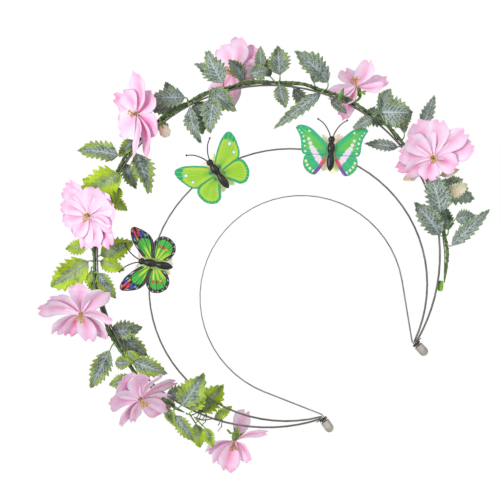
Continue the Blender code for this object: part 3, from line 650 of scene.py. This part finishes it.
petalCut = {"widen": 1.58, "along": [0, .1, .25, .42, .6, .76, .88, .96, 1],
    "wide": [.14, .3, .56, .8, .95, 1, .94, .78, .58]}


def petalSheet(hub, tip, face, width, blush):
    piece, u, v = gridPiece("petal", 12, 18)
    length = (tip - hub).length
    half = width * mm / 2
    outline = np.interp(v, petalCut["along"], petalCut["wide"])
    seed = random.uniform(0, 6)
    x = u * outline * half
    scallop = 0.045 * np.sin(u * 5.2 + seed) + 0.03 * np.sin(u * 9 +
        seed * 2) - 0.07 * u ** 4 - 0.05 * np.exp(-(u / 0.2) ** 2)
    y = v * length + scallop * length * np.clip(v - 0.55, 0, 1) * 2.2 - u ** 2 * outline * length * 0.05
    cup = 0.20 * np.abs(u) ** 1.6 * half * (1 - 0.5 * v)
    bow = 0.16 * length * np.sin(pi * v * 0.9) * -1 + 0.10 * length * np.clip(v - 0.72, 0, 1) * -3.2
    ripple = 0.10 * half * np.sin(v * 7 + seed) * np.abs(u) ** 1.5 * v + 0.05 * half * np.sin(u * 6 +
        seed) * v ** 2
    crease = -0.045 * half * np.exp(-(u / 0.16) ** 2)
    z = cup + bow + ripple + crease
    turn = random.uniform(-0.35, 0.35) * v
    x, z = x * np.cos(turn) - (cup + ripple) * np.sin(turn), z + x * np.sin(turn)
    return shaped(piece, put(frameOf(hub, tip - hub, face), x, y, z), blush=blush)


# how far petals turn from the flower's own face towards the front
show = {1: 0.35, 2: 0.45, 3: 0.0, 4: 0.12, 5: 0.05, 6: 0.05, 7: 0.1, 8: 0.35}


# share of a cut square of cloth that ends up as petals
clothShare = 0.7


def sheetArea(piece):
    return sum(face.area for face in piece.data.polygons)


def makeFlower(number):
    place, (heading, lift), cup, petals = flowers[number]
    hub = overVine(*place)
    face = inPlane(radians(heading), radians(lift))
    sheets = []
    for row in petals:
        angle, reach, width, blush = row[:4]
        flat = Vector((sin(radians(angle)), 0, cos(radians(angle)))) * reach
        if len(row) > 4:
            depth = row[4]
        else:
            depth = max(-13, min(13, (cup - flat.dot(face)) / face.y))
        tip = hub + (flat + Vector((0, depth, 0))) * mm
        start = hub + (tip - hub).normalized() * 1.2 * mm
        shown = face * (1 - show[number]) + front * show[number]
        sheets.append(petalSheet(start, tip, shown, width * petalCut["widen"], blush))
    piece = joined(f"flowerPetals{number}", sheets)
    area = sheetArea(piece)
    applied(piece, "SOLIDIFY", thickness=0.3 * mm, offset=0)
    applied(piece, "SUBSURF", levels=1, render_levels=1)
    pick(piece)
    bpy.ops.object.shade_smooth()
    dress(piece, finishes["petal"])
    side = face.orthogonal().normalized()
    other = face.cross(side)
    strands, tips = [], []
    for i in range(11):
        turn = 2 * pi * i / 11 + random.uniform(-0.2, 0.2)
        out = side * cos(turn) + other * sin(turn)
        high, wide = random.uniform(4.5, 7.0) * mm, random.uniform(1.2, 3.0) * mm
        end = hub + face * high + out * wide
        strands.append((smoothPath([hub, hub + face * high * 0.6 + out * wide * 0.35, end], 4),
            [0.16 * mm] * 2))
        tips.append(([end - out * 0.7 * mm, end - out * 0.3 * mm, end + out * 0.4 * mm,
            end + out * 0.8 * mm], [0.1 * mm, 0.42 * mm, 0.42 * mm, 0.1 * mm]))
    stamens = dress(tubes(f"flowerStamens{number}", strands + tips, 2), anther)
    back = hub - face * 6.5 * mm
    root = vinePoint(place[0])
    mid = (back + root) / 2 + (back - hub).normalized() * 1.5 * mm
    calyx = [(smoothPath([hub + face * 0.6 * mm, hub - face * 1.5 * mm, hub - face * 4 * mm, back, mid,
        root], 6),
              [1.3 * mm, 2.2 * mm, 1.8 * mm, 0.9 * mm, 0.75 * mm, 0.8 * mm])]
    stem = dress(tubes(f"flowerStem{number}", calyx, 4), finishes["flower_stem"])
    sepals = []
    for i in range(5):
        turn = 2 * pi * (i + 0.5) / 5
        out = side * cos(turn) + other * sin(turn)
        start = hub - face * 4.2 * mm + out * 1.3 * mm
        sepals.append(leafSheet(start, out - face * random.uniform(0.05, 0.45), face,
            random.uniform(4.5, 6.5), 2.8, 0,
                                1.0, 0.1, 0, 0.1, 0.3, 2))
    cups = joined(f"flowerSepals{number}", sepals)
    applied(cups, "SOLIDIFY", thickness=0.3 * mm, offset=0)
    pick(cups)
    bpy.ops.object.shade_smooth()
    dress(cups, finishes["leaf"])
    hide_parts(f"flower_{number}_petals")
    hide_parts(f"flower_{number}_stem")
    for part in (piece, stamens, stem, cups):
        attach(part, "crown")
    flat = sqrt(area / clothShare)


for number in flowers:
    makeFlower(number)
print("flowers are open")


# buds and the pod

# heading of the tip in degrees, length and radius in millimetres
buds = {"bud_1": (-165, 10, 3.6), "bud_2": (-160, 8, 3), "pod": (60, 9, 1.6)}


def makeBud(name):
    heading, length, radius = buds[name]
    low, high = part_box(name)
    middle = (low + high) / 2
    along = inPlane(radians(heading))
    start, end = middle - along * length / 2 * mm, middle + along * length / 2 * mm
    if name == "pod":
        body = tubes(name + "Shell", [(smoothPath([start, middle, end], 8),
            [0.8 * mm, 1.5 * mm, 1.6 * mm, 1.1 * mm, 0.4 * mm])], 4)
        dress(body, finishes["bud"])
    else:
        body = tubes(name + "Shell", [(smoothPath([start, middle, end], 8),
            [k * radius * mm for k in (0.25, 0.75, 0.95, 1.05, 0.5)])], 5)
        dress(body, blossomCream)
        side = along.orthogonal().normalized()
        other = along.cross(side)
        cups = []
        for i in range(4):
            turn = 2 * pi * i / 4 + 0.4
            out = side * cos(turn) + other * sin(turn)
            cups.append(leafSheet(start + out * 0.8 * mm, along + out * 0.5, out, length * 0.62, 3.6, 0,
                0.6, 0.2, 0, 0.22, 0.1, 2))
        cup = joined(name + "Cup", cups)
        applied(cup, "SOLIDIFY", thickness=0.3 * mm, offset=0)
        pick(cup)
        bpy.ops.object.shade_smooth()
        dress(cup, finishes["leaf"])
        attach(cup, "crown")
    near = min((vinePoint(a) for a in np.linspace(-100, 130, 461)), key=lambda p: (p - start).length)
    twig = dress(tubes(name + "Twig", [(smoothPath([near, (near + start) / 2 - along * mm,
        start + along * mm], 5), [0.6 * mm, 0.5 * mm])], 2), finishes["flower_stem"])
    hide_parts(name)
    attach(body, "crown")
    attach(twig, "crown")


for name in buds:
    makeBud(name)
print("buds are made")


# butterflies: outlines in millimetres, x out from the body and y towards the head

wingCut = {
    1: {"foreLead": [(.6, 4.6), (4.6, 9.4), (11.5, 14.8), (17, 17.6), (20.8, 18), (22.4, 16.4)],
        "foreTrail": [(.6, -.2), (6, 0), (12, .2), (16.4, .4), (19.6, 3.6), (21.4, 8.6), (22.4, 12.6),
            (22.4, 16.4)],
        "hindLead": [(.6, 1.5), (8, 2), (14, 1.4), (17.4, -1), (18.4, -4.5), (17.4, -9.6), (15, -12.8)],
        "hindTrail": [(.6, -4), (3, -6.6), (5, -9.6), (7.6, -13.4), (11.6, -14.5), (15, -12.8)]},
    2: {"foreLead": [(.6, 4.6), (3.7, 7), (11.5, 14.2), (16.4, 16.8), (21, 17.2), (23.2, 15.4)],
        "foreTrail": [(.6, -.6), (6, -1), (12, -1.2), (16.4, -1.4), (18.6, .4), (19.4, 6.9), (20.6, 11),
            (23.2, 15.4)],
        "hindLead": [(.6, 1), (8, 1), (14, -.5), (16.5, -2.2), (17.3, -5), (17.2, -7.8), (15.6, -11),
            (12.4, -13.6)],
        "hindTrail": [(.6, -1), (2.4, -4), (4.6, -7.6), (7, -11.4), (9.4, -13.9), (12.4, -13.6)]},
    3: {"foreLead": [(.6, 4.6), (4, 10), (10.6, 16.4), (16, 19.2), (19.4, 19.4), (20.8, 17.6)],
        "foreTrail": [(.6, .4), (6, 2), (11, 3.2), (14.8, 4.6), (18, 8), (20, 13.2), (20.8, 17.6)],
        "hindLead": [(.6, 2.5), (8, 4), (14, 3.4), (18, -.6), (17.6, -6), (14.6, -10)],
        "hindTrail": [(.6, -3.6), (3, -6.6), (6, -9.4), (10.4, -11), (14.6, -10)]},
}


# where a wing starts, where the fixed strip under the body ends, thickness, and gap between fore and hind
wingRoot = {"crease": 2.74, "saddle": 2.36, "thick": 0.2, "apart": 0.12}


def along2(points, count):
    line = np.array([tuple(p)[:2] for p in smoothPath([(x, y, 0) for x, y in points], 12)])
    line = line[line[:, 0] >= wingRoot["crease"]]
    line[0, 0] = wingRoot["crease"]
    step = np.r_[0, np.cumsum(np.hypot(*np.diff(line, axis=0).T))]
    where = np.linspace(0, step[-1], count)
    return np.stack([np.interp(where, step, line[:, 0]), np.interp(where, step, line[:, 1])], 1)


def hexes(*codes):
    return [np.array(rgb(c)[:3]) for c in codes]


def soft(low, high, value):
    t = np.clip((value - low) / (high - low), 0, 1)
    return t * t * (3 - 2 * t)


def over(base, mask, colour):
    return base * (1 - mask[:, None]) + np.asarray(colour) * mask[:, None]


def dot(x, y, cx, cy, r, edge=0.25):
    return 1 - soft(r - edge, r + edge, np.hypot(x - cx, y - cy))


def streak(x, y, a, b, wide, edge=0.25):
    a, b = np.array(a, float), np.array(b, float)
    along = np.clip(((x - a[0]) * (b - a)[0] + (y - a[1]) * (b - a)[1]) / ((b - a) @ (b - a)), 0, 1)
    far = np.hypot(x - a[0] - along * (b - a)[0], y - a[1] - along * (b - a)[1])
    return 1 - soft(wide - edge, wide + edge, far + wide * 0.5 * along)


def limePrint(x, y, rim, fore):
    lime, green, yellow, emerald, white, ring, teal = hexes("90C41C", "5CA418", "BCD02C", "0CA65C",
        "F8F8FF", "86B8E4", "128A58")
    far = np.hypot(x, y - 1)
    colour = over(np.tile(lime, (len(x), 1)), 1 - soft(3, 11, far), green)
    colour = over(colour, (1 - soft(1.0, 4.5, rim)) * 0.75, yellow)
    ragged = 0.5 * np.sin(x * 2.3 + y * 1.4) + 0.3 * np.sin(y * 5.1)
    border = 1.15 + (soft(14.5, 20.5, x) * soft(9, 15, y) * 3.6 if fore else 0.6)
    colour = over(colour, 1 - soft(border - 0.3, border + 0.3, rim + ragged * (border > 1.8) * 1.1), emerald)
    spots = [(17.2, 11.2, 0.7), (16.2, 5.2, 0.55)] if fore else []
    for cx, cy, r in spots:
        colour = over(over(colour, dot(x, y, cx, cy, r + 0.4), ring), dot(x, y, cx, cy, r), white)
    for cx, cy, r in [(3.4, 3.2, 1.5)] if fore else [(3.2, -1.6, 1.3)]:
        colour = over(colour, dot(x, y, cx, cy, r), teal)
    return over(colour, 1 - soft(0.1, 0.35, rim), hexes("0A7A6A")[0])


def emeraldPrint(x, y, rim, fore):
    edge, inner, lav, cream, yellow, purple, red, dark = hexes("1CAE70", "56BC3C", "E6D6EA", "F6EEDC",
        "E4DC70", "6C3AA0", "E03C50", "0E7A58")
    colour = over(np.tile(inner, (len(x), 1)), 1 - soft(1.8, 4.6, rim), edge) if fore else np.tile(edge,
        (len(x), 1))
    colour = over(colour, 1 - soft(1.5, 7, np.hypot(x, y)), hexes("30A458")[0])
    band = [(14.5, 8.6, 0.95), (13.4, 5.9, 1.15), (12.4, 3.2, 1.5), (10.9, 1.2, 1.9), (9.6, -1.0, 2.0),
        (8.0, -3.4, 2.1), (6.4, -5.6, 1.7)]
    for cx, cy, r in band:
        colour = over(colour, dot(x, y, cx, cy, r, 0.3), lav)
    creases = (np.abs(np.sin((y + 0.9 * x) * 1.15)) < 0.16) * (y < 3.4) * (np.abs(x - 9.4 +
        0.9 * (-1 - y) * 0.75) < 2.6)
    colour = over(colour, creases * 0.45, inner)
    if fore:
        for cx, cy, r in [(20.6, 14.0, .35), (19.2, 12.2, .45), (17.9, 10.0, .5), (17.4, 7.0, .7),
            (16.8, 3.9, .5), (16.4, .6, .6), (14.4, 13.6, .6)]:
            colour = over(colour, dot(x, y, cx, cy, r), cream)
    else:
        for cx, cy in [(15.6, -5.6), (14.6, -8.0), (12.8, -10.2), (10.6, -11.8)]:
            colour = over(over(colour, dot(x, y, cx, cy, 0.85), yellow), dot(x, y, cx, cy, 0.5), cream)
        inside = 1 - soft(2.0, 2.5, rim)
        lane = inside * (x < 2.6 - 0.62 * (y + 1) + 0.9) * 1.0
        colour = over(colour, lane, purple)
        colour = over(colour, lane * (1 - soft(2.4, 3.4, np.abs(y + 5.2))), red)
    return over(colour, 1 - soft(0.12, 0.4, rim), dark)


def mosaicPrint(x, y, rim, fore):
    black, lime, yellow, green, white = hexes("141216", "8CC81C", "C8D818", "2CA824", "E8ECF0")
    red, blue, cyan, orange, darkRed = hexes("DC2840", "2840D0", "40C0D0", "F0A018", "A81C20")
    far, angle = np.hypot(x, y - 1), np.arctan2(y - 1, x)
    cell = angle * 10.5 + (0.5 if fore else 0.0)
    inside = np.abs(np.sin(cell))
    colour = over(np.tile(green, (len(x), 1)), soft(0.25, 0.8, inside) * (1 - soft(6, 13, far)), lime)
    colour = over(colour, soft(0.75, 1.0, inside) * (1 - soft(9, 14, far)), yellow if fore else lime)
    colour = over(colour, 1 - soft(0.09, 0.2, inside * np.clip(far / 9, 0.3, 1)), hexes("1C2A10")[0])
    scallop = 0.35 * np.abs(np.sin(angle * 11))
    border = 1.9 + scallop if not fore else 1.7 + scallop + 6 * soft(20, 27, x + y * 0.8)
    colour = over(colour, 1 - soft(border - 0.2, border + 0.2, rim), black)
    if fore:
        bars = [(18.2, 17.6, 2.6, red), (16.6, 17.0, 2.8, red), (18.6, 15.2, 2.4, red),
            (16.6, 14.8, 1.8, red), (18.0, 12.6, 1.4, blue),
                (16.4, 12.6, 1.2, blue), (13.6, 14.6, 1.6, orange), (17.0, 10.0, .9, cyan),
                    (14.6, 16.4, 1.2, blue), (12.6, 16.0, .9, cyan)]
        for cx, cy, long, tone in bars:
            colour = over(colour, streak(x, y, (cx - long / 2, cy - long / 2.4),
                (cx + long / 2, cy + long / 2.4), 0.5, 0.2), tone)
    else:
        for turn in (-0.15, -0.5, -0.85):
            colour = over(colour, streak(x, y, (5 * cos(turn), 1 + 5 * sin(turn)),
                (12 * cos(turn), 1 + 12 * sin(turn)), 0.4), yellow)
        for cx, cy, tone in [(11.4, -0.6, red), (11.2, -3.0, darkRed), (10.0, -5.2, orange)]:
            colour = over(over(colour, dot(x, y, cx, cy, 1.05), black), dot(x, y, cx, cy, 0.78), tone)
    specks = (np.sin(angle * 34) > 0.75) * (1 - soft(0.14, 0.3, np.abs(rim - 0.85)))
    return over(colour, specks * 0.8, white)


prints = {1: limePrint, 2: emeraldPrint, 3: mosaicPrint}
headings = {1: 2.5, 2: 42, 3: -40}
bodyCut = {"half": 11.0, "radius": 2.14}


def wingSheet(kind, part, sign, matrix, rise):
    cut = wingCut[kind]
    lead, trail = along2(cut[part + "Lead"], 64), along2(cut[part + "Trail"], 64)
    piece, u, v = gridPiece("wing", 44, 63)
    row = np.rint(v * 63).astype(int)
    t = ((u + 1) / 2)[:, None]
    flat = lead[row] * (1 - t) + trail[row] * t
    outline = np.vstack([lead, trail[::-1]])
    rim = np.min([np.hypot(*(flat - p).T) for p in np.vstack([(outline[:-1] * (1 - s) +
        outline[1:] * s) for s in (0, .5)])], axis=0)
    rim = np.where(flat[:, 0] < wingRoot["crease"] + 0.6, 3.0, rim)
    x, y = flat.T
    far = (x - wingRoot["crease"]) / 17.3
    z = rise + 0.9 * far - 0.5 * far ** 2 * 2 + 0.12 * np.sin(np.arctan2(y - 1, x) * 15) * np.clip(far * 2,
        0, 1)
    shaped(piece, put(matrix, sign * x * mm, y * mm, z * mm))
    tone = prints[kind](x, y, rim, part == "fore")
    layer = piece.data.attributes.new("print", "FLOAT_COLOR", "POINT")
    layer.data.foreach_set("color", np.c_[np.clip(tone, 0, 1), np.ones(len(x))].ravel())
    spots = np.stack([0.5 + x / 60, 0.5 + y / 60], 1)
    loops = np.zeros(len(piece.data.loops), int)
    piece.data.loops.foreach_get("vertex_index", loops)
    piece.data.uv_layers[0].data.foreach_set("uv", spots[loops].ravel())
    if sign < 0:
        piece.data.flip_normals()
    return piece


def makeSaddle(number, matrix):
    cut = wingCut[number]
    piece, u, v = gridPiece("saddle", 10, 16)
    x = u * wingRoot["saddle"]
    reach = [0, 0.6, wingRoot["saddle"]]
    top = np.interp(np.abs(x), reach, [cut["foreLead"][0][1] - 0.4, cut["foreLead"][0][1],
        along2(cut["foreLead"], 4)[0][1] - 0.2])
    low = np.interp(np.abs(x), reach, [cut["hindTrail"][0][1] + 0.4, cut["hindTrail"][0][1],
        along2(cut["hindTrail"], 4)[0][1] + 0.2])
    y = low + (top - low) * v
    shaped(piece, put(matrix, x * mm, y * mm, np.zeros(len(x))))
    tone = prints[number](np.abs(x), y, np.full(len(x), 3.0), True)
    layer = piece.data.attributes.new("print", "FLOAT_COLOR", "POINT")
    layer.data.foreach_set("color", np.c_[np.clip(tone, 0, 1), np.ones(len(x))].ravel())
    piece.name = f"butterfly{number}Saddle"
    applied(piece, "SOLIDIFY", thickness=wingRoot["thick"] * mm, offset=0)
    slot = f"wing_film_{number}"
    dress(piece, finishes[slot])
    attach(piece, "crown")


def makeButterfly(number):
    heading = radians(headings[number])
    ahead, right = inPlane(heading), Vector((cos(heading), 0, -sin(heading)))
    low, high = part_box(f"butterfly_{number}_wing_right")
    deep = (low.y + high.y) / 2
    wings = [nodes[f"butterfly_{number}_wing_{name}"].data.vertices for name in ("left", "right")]
    plane = np.array([v.co for wing in wings for v in wing])
    side = (plane @ np.array(right)).max() + (plane @ np.array(right)).min()
    tall = (plane @ np.array(ahead)).max() + (plane @ np.array(ahead)).min()
    centre = right * side / 2 + ahead * (tall / 2 - 2.3 * mm)
    wingBase = frameOf(Vector((centre.x, deep, centre.z)), ahead, front)
    core = Vector((centre.x, deep - 0.7 * mm, centre.z))
    for name, sign in (("left", -1), ("right", 1)):
        fore, hind = (wingSheet(number, part, sign, wingBase, rise * wingRoot["apart"])
                      for part, rise in (("fore", 1), ("hind", -1)))
        piece = joined(f"butterfly{number}Wing{name.title()}", [fore, hind])
        applied(piece, "SOLIDIFY", thickness=wingRoot["thick"] * mm, offset=0)
        pick(piece)
        bpy.ops.object.shade_smooth()
        slot = f"wing_film_{number}"
        dress(piece, finishes[slot])
        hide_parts(f"butterfly_{number}_wing_{name}")
        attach(piece, f"butterfly_{number}_wing_{name}")
    makeSaddle(number, wingBase)
    base = frameOf(core, ahead, front)

    def at(x, y, z=0.0):
        return base @ Vector((x * mm, y * mm, z * mm))
    half, r = bodyCut["half"], bodyCut["radius"]
    outline = [(-1.04, .06), (-1, .2), (-.92, .55), (-.75, .9), (-.5, 1.02), (-.3, .98), (-.14, .72),
        (-.05, .6), (.06, .72), (.2, 1.0), (.36, 1.04),
               (.52, .88), (.6, .66), (.65, .62), (.74, .86), (.85, .9), (.95, .66), (1, .2)]
    line = smoothPath([at(0, y * half) for y, _ in outline], 4)
    thick = np.interp(np.linspace(0, len(outline) - 1, len(line)), range(len(outline)),
        [k * r * 1.14 * mm for _, k in outline])
    strands = [(line, list(thick))]
    for sign in (-1, 1):
        eye = [at(sign * 1.0, .72 * half, .3), at(sign * 1.25, .79 * half, .5),
            at(sign * 1.2, .86 * half, .4)]
        strands.append((smoothPath(eye, 4), [0.4 * mm, 0.95 * mm, 0.4 * mm]))
        feeler = [at(sign * x, y, 0.4) for x, y in ((0.5, 9.5), (2.2, 14), (5.4, 18.6), (9.2, 21.4))]
        strands.append((smoothPath(feeler, 8), [0.4 * mm, 0.34 * mm]))
        tip, back = feeler[-1], (feeler[-1] - feeler[-2]).normalized()
        strands.append(([tip - back * .5 * mm, tip - back * .2 * mm, tip + back * .35 * mm,
            tip + back * .6 * mm], [.3 * mm, .62 * mm, .62 * mm, .3 * mm]))
    body = dress(tubes(f"butterfly{number}Body", strands, 5), finishes["insect"])
    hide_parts(f"butterfly_{number}_body")
    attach(body, "crown")
    sheets = []
    lowBack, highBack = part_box(f"butterfly_{number}_backing")
    depth = (lowBack.y + highBack.y) / 2
    for turn, reach, wide, tone in backings[number]:
        out = inPlane(heading + radians(turn))
        start = Vector((centre.x, depth, centre.z)) + out * 1.0 * mm
        tip = Vector((centre.x, depth - random.uniform(-0.4, 0.4) * mm, centre.z)) + out * reach * mm
        sheet = petalSheet(start, tip, front, wide, 0.0)
        layer = sheet.data.attributes.new("tone", "FLOAT_COLOR", "POINT")
        layer.data.foreach_set("color", np.tile(rgb(tone), (len(sheet.data.vertices), 1)).ravel())
        sheets.append(sheet)
    backing = joined(f"butterfly{number}Backing", sheets)
    area = sheetArea(backing)
    applied(backing, "SOLIDIFY", thickness=0.25 * mm, offset=0)
    pick(backing)
    bpy.ops.object.shade_smooth()
    dress(backing, silkGlow)
    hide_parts(f"butterfly_{number}_backing")
    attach(backing, "crown")
    flat = sqrt(area / clothShare)


backings = {  # turn from the head, reach, width, colour
    1: [(28, 13.5, 8, "EAF0B8"), (-26, 13, 8, "F4E8D0"), (150, 12, 8, "E4F0A8"), (-150, 12, 8, "EAF0B8"),
        (90, 8, 7, "F4E8D0"), (-90, 8, 7, "EAF0B8")],
    2: [(30, 14, 8, "F6CDB4"), (-30, 13, 8, "EEF0C4"), (165, 13, 8, "E6F0A8"), (-150, 12, 8, "EEF0C4"),
        (90, 8, 7, "F6CDB4"), (-90, 8, 7, "F4E8D0")],
    3: [(26, 13.5, 8, "F6D4BC"), (-28, 14, 8, "F4ECD4"), (160, 11, 8, "F4ECD4"), (-150, 11, 8, "EEF0C4"),
        (90, 8, 7, "F6D4BC"), (-90, 8, 7, "F4ECD4")],
}


def silkGlowFinish():
    # the backing silk glows though it is no lamp: its own tone is emitted at strength 0.22, painted light
    # that lifts the shade behind the butterflies
    finish = Finish("backingSilkGlow", Sheen_Weight=0.3, Sheen_Roughness=0.5, Emission_Strength=0.22)
    colour = finish.node("Attribute", {"attribute_name": "tone"})
    u, v = finish.across()
    weave = finish.noise(2400, 2)
    finish.set(Base_Color=finish.mix(weave * 0.3 + v * 0.15, colour, rgb("FFFFFF")),
        Roughness=0.6 + weave * 0.2)
    # painted light: the emitted glow takes the silk's own tone
    finish.set(Emission_Color=colour)
    pleats = finish.node("Math", {"operation": "SINE"}, {0: u * 40})
    return finish.bump(pleats * 0.5 + weave, 0.0001, 0.6)


silkGlow = silkGlowFinish()
for number in (1, 2, 3):
    makeButterfly(number)
print("butterflies are pinned")


# pale floor that fades out

floorCut = {"height": -0.34, "radius": 0.42}


def makeFloor():
    pick()
    bpy.ops.mesh.primitive_circle_add(vertices=96, radius=floorCut["radius"], fill_type="NGON",
        location=(0, 0, floorCut["height"]))
    floor = bpy.context.active_object
    floor.name = "studioFloor"
    finish = Finish("paleFloor", Roughness=0.9)
    where = finish.node("TexCoord", output=3)
    far = finish.node("VectorMath", {"operation": "LENGTH"}, {0: where}, 1)
    finish.set(Base_Color=finish.mix(finish.noise(40, 2) * 0.3, rgb("FBFBFA"), rgb("F4F4F3")))
    finish.set(Alpha=1 - finish.smooth(far, floorCut["radius"] * 0.35, floorCut["radius"] * 0.98))
    floor.data.materials.append(finish.material)


makeFloor()
